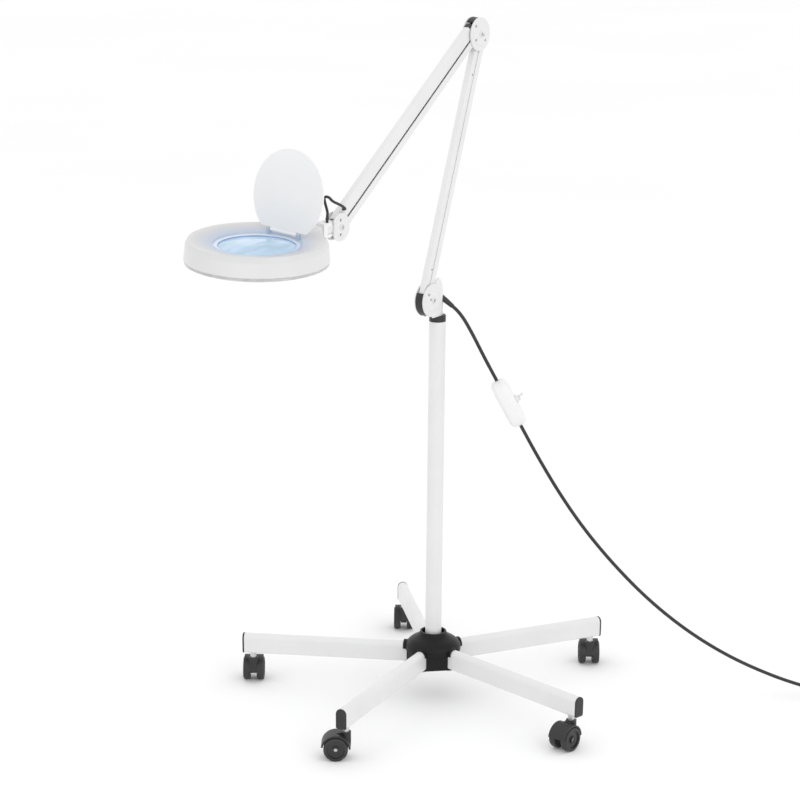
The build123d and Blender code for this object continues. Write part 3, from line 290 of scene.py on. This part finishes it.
def add_spring(name, main, far, body, node):
    """Close-wound tension spring with a hook at each end."""
    end = SPRING_START + SPRING_LENGTH
    points = [on_arm(main, far, SPRING_START - HOOK_FAR, -2.4),
              on_arm(main, far, SPRING_START - HOOK_NEAR, -1.2)]
    for step in range(SPRING_TURNS * SPRING_STEPS + 1):
        angle = 2 * pi * step / SPRING_STEPS
        along = SPRING_START + SPRING_LENGTH * step / (SPRING_TURNS * SPRING_STEPS)
        points.append(on_arm(main, far, along, SPRING_DEPTH + SPRING_RADIUS * cos(angle),
                             SPRING_RADIUS * sin(angle)))
    points += [on_arm(main, far, end + HOOK_NEAR, -1.2), on_arm(main, far, end + HOOK_FAR, -2.4)]
    spring = add_object(name, tube_mesh(name, points, WIRE_RADIUS * MM, 1, 1), body)
    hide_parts(node)
    return spring


lower_main, lower_top = joint_point("lower_arm_tilt"), joint_point("elbow_level")
add_spring("lower_spring", lower_main, lower_top, "lower_arm", "lower_arm_spring")
add_spring("upper_spring", upper_main, upper_end, "upper_arm", "upper_arm_spring")


# ---- plug ---------------------------------------------------------------------------------
PLUG_SECTIONS = ((0, 4.4, 4.2), (3, 5.0, 4.6), (8, 8.2, 6.0), (12, 11.0, 7.0), (18, 11.6, 7.2),
                 (24, 12.6, 7.4), (31, 13.4, 7.5), (35, 13.4, 7.5), (36, 12.6, 6.8))
PIN_PROFILE = ((0, 0), (2.35, 0), (2.35, 17.4), (2.0, 18.6), (1.2, 19.0), (0, 19.0))
PIN_SPREAD = 9.3
ROUND_COUNT, SQUARENESS = 32, 0.6


def squared(value):
    """Sine or cosine drawn out towards the corners of a rounded rectangle."""
    return abs(value) ** SQUARENESS * (1 if value >= 0 else -1)


def add_plug():
    """Moulded two-pin plug: a body that widens towards its face, and two round pins."""
    low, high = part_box("plug")
    rear = lead_at(PLUG_REAR, 0, 2 * COIL_ACROSS)
    ahead = polar(LEAD_AZIMUTH + 180, 1000)
    side = polar(LEAD_AZIMUTH + 90, 1000)
    height = (high.z - low.z) / 2
    mesh = bpy.data.meshes.new("plug_body")
    bm = bmesh.new()
    rings = []
    for along, half_wide, half_high in PLUG_SECTIONS:
        ring = []
        for k in range(ROUND_COUNT):
            a = 2 * pi * k / ROUND_COUNT
            x = half_wide * squared(cos(a))
            z = half_high * squared(sin(a))
            place = rear + ahead * along * MM + side * x * MM + Vector((0, 0, z * MM + height))
            ring.append(bm.verts.new(place))
        rings.append(ring)
    for a, b in zip(rings, rings[1:]):
        for k in range(ROUND_COUNT):
            n = (k + 1) % ROUND_COUNT
            bm.faces.new((a[k], a[n], b[n], b[k]))
    bm.faces.new(rings[0][::-1])
    bm.faces.new(rings[-1])
    bmesh.ops.recalc_face_normals(bm, faces=bm.faces)
    bm.to_mesh(mesh)
    bm.free()
    for face in mesh.polygons:
        face.use_smooth = len(face.vertices) == 4
    body = add_object("plug_body", mesh, "arm_base")
    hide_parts("plug")
    made = [body]
    for hand in (1, -1):
        start = rear + (ahead * PLUG_SECTIONS[-1][0] + side * hand * PIN_SPREAD) * MM
        start.z += height
        profile = [(r * MM, h * MM) for r, h in PIN_PROFILE]
        pin = lathe("plug_pin", profile, start, ahead, ROUND_COUNT)
        made.append(add_object(f"plug_pin_{1 if hand > 0 else 2}", pin, "arm_base"))
    return made


plug_pieces = add_plug()


# ---- materials ----------------------------------------------------------------------------
class Shader:
    """Short way to build a node material round one Principled shader."""

    def __init__(self, name):
        self.material = bpy.data.materials.new(name)
        self.material.use_nodes = True
        self.tree = self.material.node_tree
        self.bsdf = self.tree.nodes["Principled BSDF"]
        self.coord = self.node("ShaderNodeTexCoord").outputs["Object"]

    def node(self, kind, **values):
        made = self.tree.nodes.new(kind)
        for key, value in values.items():
            setattr(made, key, value)
        return made

    def link(self, out, socket):
        self.tree.links.new(out, socket)

    def noise(self, scale, detail=4.0, rough=0.55, stretch=None):
        made = self.node("ShaderNodeTexNoise")
        made.inputs["Scale"].default_value = scale
        made.inputs["Detail"].default_value = detail
        made.inputs["Roughness"].default_value = rough
        if stretch:
            mapping = self.node("ShaderNodeMapping")
            mapping.inputs["Scale"].default_value = stretch
            self.link(self.coord, mapping.inputs["Vector"])
            self.link(mapping.outputs["Vector"], made.inputs["Vector"])
        else:
            self.link(self.coord, made.inputs["Vector"])
        return made.outputs["Fac"]

    def ramp(self, value, stops):
        made = self.node("ShaderNodeValToRGB")
        elements = made.color_ramp.elements
        while len(elements) < len(stops):
            elements.new(0.5)
        for element, (place, color) in zip(elements, stops):
            element.position = place
            element.color = (*color, 1.0)
        self.link(value, made.inputs["Fac"])
        return made.outputs["Color"]

    def spread(self, value, low, high):
        made = self.node("ShaderNodeMapRange")
        made.inputs["To Min"].default_value = low
        made.inputs["To Max"].default_value = high
        self.link(value, made.inputs["Value"])
        return made.outputs["Result"]

    def bump(self, value, strength, distance):
        made = self.node("ShaderNodeBump")
        made.inputs["Strength"].default_value = strength
        made.inputs["Distance"].default_value = distance
        self.link(value, made.inputs["Height"])
        previous = self.bsdf.inputs["Normal"].links
        if previous:
            self.link(previous[0].from_socket, made.inputs["Normal"])
        self.link(made.outputs["Normal"], self.bsdf.inputs["Normal"])

    def set(self, **values):
        for key, value in values.items():
            self.bsdf.inputs[key.replace("_", " ")].default_value = value


def surface(name, low, high, rough, grain, bump, mottle=12.0, coat=0.0, metallic=0.0,
            stretch=None):
    """Coloured surface with soft mottling, uneven gloss and a fine grain."""
    s = Shader(name)
    s.link(s.ramp(s.noise(mottle, 5.0), [(0.3, low), (0.7, high)]), s.bsdf.inputs["Base Color"])
    s.link(s.spread(s.noise(mottle * 4, 3.0), rough[0], rough[1]), s.bsdf.inputs["Roughness"])
    s.bump(s.noise(grain, 3.0, 0.6, stretch), bump[0], bump[1])
    s.set(Metallic=metallic)
    if coat:
        s.bsdf.inputs["Coat Weight"].default_value = coat
        s.bsdf.inputs["Coat Roughness"].default_value = 0.12
    return s


def grey(value, tint=0.0):
    return (value, value, value + tint)


enamel = surface("white_enamel", grey(0.71), grey(0.75), (0.30, 0.42), 900, (0.12, 0.0002),
                 coat=0.25)
moulded_white = surface("white_moulding", grey(0.79), grey(0.82), (0.34, 0.44), 1400,
                        (0.1, 0.0002), coat=0.15)
black_moulding = surface("black_moulding", grey(0.012), grey(0.022), (0.38, 0.52), 2600,
                         (0.35, 0.0003))
hub_gloss = surface("hub_gloss", grey(0.006), grey(0.012), (0.34, 0.46), 1200, (0.08, 0.0002))
hub_gloss.bsdf.inputs["Specular IOR Level"].default_value = 0.2
wheel_nylon = surface("wheel_nylon", grey(0.014), grey(0.03), (0.34, 0.55), 1500, (0.3, 0.0003),
                      mottle=60)
zinc = surface("zinc", grey(0.55), grey(0.68), (0.22, 0.4), 700, (0.25, 0.0002), mottle=90,
               metallic=1.0, stretch=(1, 1, 8))
chrome = surface("chrome", grey(0.72), grey(0.82), (0.06, 0.16), 900, (0.05, 0.0001), mottle=60,
                 metallic=1.0)
pvc = surface("black_pvc", grey(0.010), grey(0.018), (0.36, 0.5), 1800, (0.25, 0.0002), mottle=40)
plug_pvc = surface("plug_pvc", grey(0.012), grey(0.02), (0.42, 0.56), 2200, (0.4, 0.0003),
                   mottle=40)
# Painted light: the white bezel round the lens is coloured blue-violet for the ring lamp's light falling on it.
lamp_lit_bezel = surface("lens_bezel", (0.62, 0.70, 0.86), (0.70, 0.78, 0.92), (0.25, 0.35), 1200,
                (0.1, 0.0002))


def radius_from(s, centre, axis):
    """Distance in metres from the head's axis, and height along it, in the row frame at rest."""
    moved = s.node("ShaderNodeVectorMath", operation="SUBTRACT")
    moved.inputs[1].default_value = centre
    s.link(s.coord, moved.inputs[0])
    height = s.node("ShaderNodeVectorMath", operation="DOT_PRODUCT")
    height.inputs[1].default_value = axis
    s.link(moved.outputs["Vector"], height.inputs[0])
    along = s.node("ShaderNodeVectorMath", operation="SCALE")
    along.inputs[0].default_value = axis
    s.link(height.outputs["Value"], along.inputs["Scale"])
    flat = s.node("ShaderNodeVectorMath", operation="SUBTRACT")
    s.link(moved.outputs["Vector"], flat.inputs[0])
    s.link(along.outputs["Vector"], flat.inputs[1])
    length = s.node("ShaderNodeVectorMath", operation="LENGTH")
    s.link(flat.outputs["Vector"], length.inputs[0])
    return length.outputs["Value"], height.outputs["Value"]


lens_low, lens_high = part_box("lens")
head_centre = (lens_low + lens_high) / 2


def head_shell():
    """White moulding whose inner dish has the ring lamp's blue-violet light and a darker grey shade painted into
    its colour.
    """
    s = Shader("head_shell")
    radius, height = radius_from(s, head_centre, head_up)
    reach = s.node("ShaderNodeMapRange")
    reach.inputs["From Min"].default_value = 0.060
    reach.inputs["From Max"].default_value = 0.111
    s.link(radius, reach.inputs["Value"])
    white = s.ramp(s.noise(12, 5.0), [(0.3, grey(0.66)), (0.7, grey(0.70))])
    # Painted light and shade: blue-violet lamp light next to the lens fades outward into a painted darker grey
    # shade over the dish, then plain white at the rim.
    painted_lamp_light = s.ramp(reach.outputs["Result"], [(0.0, (0.36, 0.48, 0.60)), (0.16, (0.42, 0.50, 0.62)),
                                            (0.42, (0.50, 0.53, 0.60)), (0.62, grey(0.56, 0.01)),
                                            (1.0, grey(0.66))])
    # Mask: the painted light and shade go only on the top face of the head.
    on_top = s.node("ShaderNodeMapRange")
    on_top.inputs["From Min"].default_value = 0.003
    on_top.inputs["From Max"].default_value = 0.007
    s.link(height, on_top.inputs["Value"])
    mix = s.node("ShaderNodeMix", data_type="RGBA")
    s.link(on_top.outputs["Result"], mix.inputs["Factor"])
    s.link(white, mix.inputs[6])
    s.link(painted_lamp_light, mix.inputs[7])
    s.link(mix.outputs[2], s.bsdf.inputs["Base Color"])
    s.link(s.spread(s.noise(48, 3.0), 0.3, 0.4), s.bsdf.inputs["Roughness"])
    s.bump(s.noise(1400, 3.0, 0.6), 0.1, 0.0002)
    s.bsdf.inputs["Coat Weight"].default_value = 0.15
    return s


def lens_glass():
    """Bluish polished glass, with the ring lamp's light painted in as pale streaked reflections, and a faint
    emission although the lens is no lamp.
    """
    s = Shader("lens_glass")
    # Painted reflection: stretched noise lays pale streaked bands of ring-lamp light into the colour.
    painted_lamp_streaks = s.noise(22, 3.0, 0.5, (1.0, 3.2, 1.0))
    s.link(s.ramp(painted_lamp_streaks, [(0.42, (0.42, 0.60, 0.70)), (0.62, (0.58, 0.72, 0.88))]),
           s.bsdf.inputs["Base Color"])
    s.link(s.spread(s.noise(30, 2.0), 0.02, 0.05), s.bsdf.inputs["Roughness"])
    s.bump(s.noise(6, 2.0), 0.05, 0.001)
    s.bsdf.inputs["Transmission Weight"].default_value = 0.45
    s.bsdf.inputs["IOR"].default_value = 1.5
    # Painted light: the lens is no lamp, yet it gives off a faint bluish light.
    s.bsdf.inputs["Emission Color"].default_value = (0.62, 0.80, 1.0, 1.0)
    s.bsdf.inputs["Emission Strength"].default_value = 0.10
    return s


def clear_ring():
    """Clear moulded ring with fine concentric prisms."""
    s = Shader("clear_ring")
    radius, height = radius_from(s, head_centre, head_up)
    prisms = s.node("ShaderNodeMath", operation="SINE")
    scale = s.node("ShaderNodeMath", operation="MULTIPLY")
    scale.inputs[1].default_value = 2 * pi / 0.0025
    s.link(radius, scale.inputs[0])
    s.link(scale.outputs["Value"], prisms.inputs[0])
    s.bump(prisms.outputs["Value"], 0.4, 0.0004)
    s.link(s.ramp(s.noise(60, 3.0), [(0.35, grey(0.62)), (0.65, grey(0.78))]),
           s.bsdf.inputs["Base Color"])
    s.link(s.spread(s.noise(80, 2.0), 0.08, 0.2), s.bsdf.inputs["Roughness"])
    s.bsdf.inputs["Transmission Weight"].default_value = 0.35
    s.bsdf.inputs["IOR"].default_value = 1.49
    return s


def lamp_tube():
    """Phosphor white tube, alight."""
    s = Shader("lamp_tube")
    s.link(s.ramp(s.noise(30, 3.0), [(0.3, (0.85, 0.9, 1.0)), (0.7, (0.95, 0.98, 1.0))]),
           s.bsdf.inputs["Base Color"])
    s.bump(s.noise(900, 2.0), 0.05, 0.0002)
    s.bsdf.inputs["Emission Color"].default_value = (0.86, 0.92, 1.0, 1.0)
    s.bsdf.inputs["Emission Strength"].default_value = 0.4
    return s


SLOT_SHADERS = {
    "white_paint": enamel, "black_plastic": black_moulding, "hub_black": hub_gloss,
    "wheel_black": wheel_nylon, "steel": zinc, "white_plastic": moulded_white,
    "cover_plastic": moulded_white, "cable_black": pvc, "plug_black": plug_pvc,
    "lens_glass": lens_glass(), "bezel_white": lamp_lit_bezel, "tube_glass": lamp_tube(),
    "clear_ring": clear_ring(), "chrome": chrome,
}
slot_of = {part["node"]: part["material_slot"] for part in frame["record"]["subparts"]}


def dress(piece, shader):
    """Gives a piece one material."""
    piece.data.materials.clear()
    piece.data.materials.append(shader.material)


for name, piece in nodes.items():
    dress(piece, SLOT_SHADERS[slot_of[name]])
dress(nodes["head_housing"], head_shell())
for piece in (mains_lead, arm_flex, *head_flex_spans):
    dress(piece, pvc)
for name in ("lower_spring", "upper_spring"):
    dress(bpy.data.objects[name], zinc)
dress(plug_pieces[0], plug_pvc)
for piece in plug_pieces[1:]:
    dress(piece, chrome)


# ---- stage --------------------------------------------------------------------------------
def add_stage():
    """Plain pale floor, an even white surround and two soft studio lamps."""
    size = 30.0
    mesh = bpy.data.meshes.new("floor")
    corners = [(-size, -size, 0), (size, -size, 0), (size, size, 0), (-size, size, 0)]
    mesh.from_pydata(corners, [], [(0, 1, 2, 3)])
    floor = bpy.data.objects.new("floor", mesh)
    bpy.context.scene.collection.objects.link(floor)
    s = Shader("pale_floor")
    s.link(s.ramp(s.noise(0.6, 2.0), [(0.3, grey(0.93)), (0.7, grey(0.95))]),
           s.bsdf.inputs["Base Color"])
    s.set(Roughness=0.9)
    s.bsdf.inputs["Specular IOR Level"].default_value = 0.1
    dress(floor, s)
    world = bpy.data.worlds.new("studio")
    bpy.context.scene.world = world
    world.use_nodes = True
    world.node_tree.nodes["Background"].inputs["Color"].default_value = (1.0, 1.0, 1.0, 1.0)
    world.node_tree.nodes["Background"].inputs["Strength"].default_value = 1.06
    for name, azimuth, height, power, width in (("key", 245, 2.0, 14, 2.2),
                                                ("fill", 160, 2.6, 4, 2.6)):
        lamp = bpy.data.lights.new(name, "AREA")
        lamp.energy = power
        lamp.size = width
        light = bpy.data.objects.new(name, lamp)
        bpy.context.scene.collection.objects.link(light)
        light.location = polar(azimuth, 3200, height / MM)
        aim = Vector((0, 0, 0.6)) - light.location
        light.rotation_mode = "QUATERNION"
        light.rotation_quaternion = aim.to_track_quat("-Z", "Y")


add_stage()
bpy.context.scene.view_settings.view_transform = "Standard"
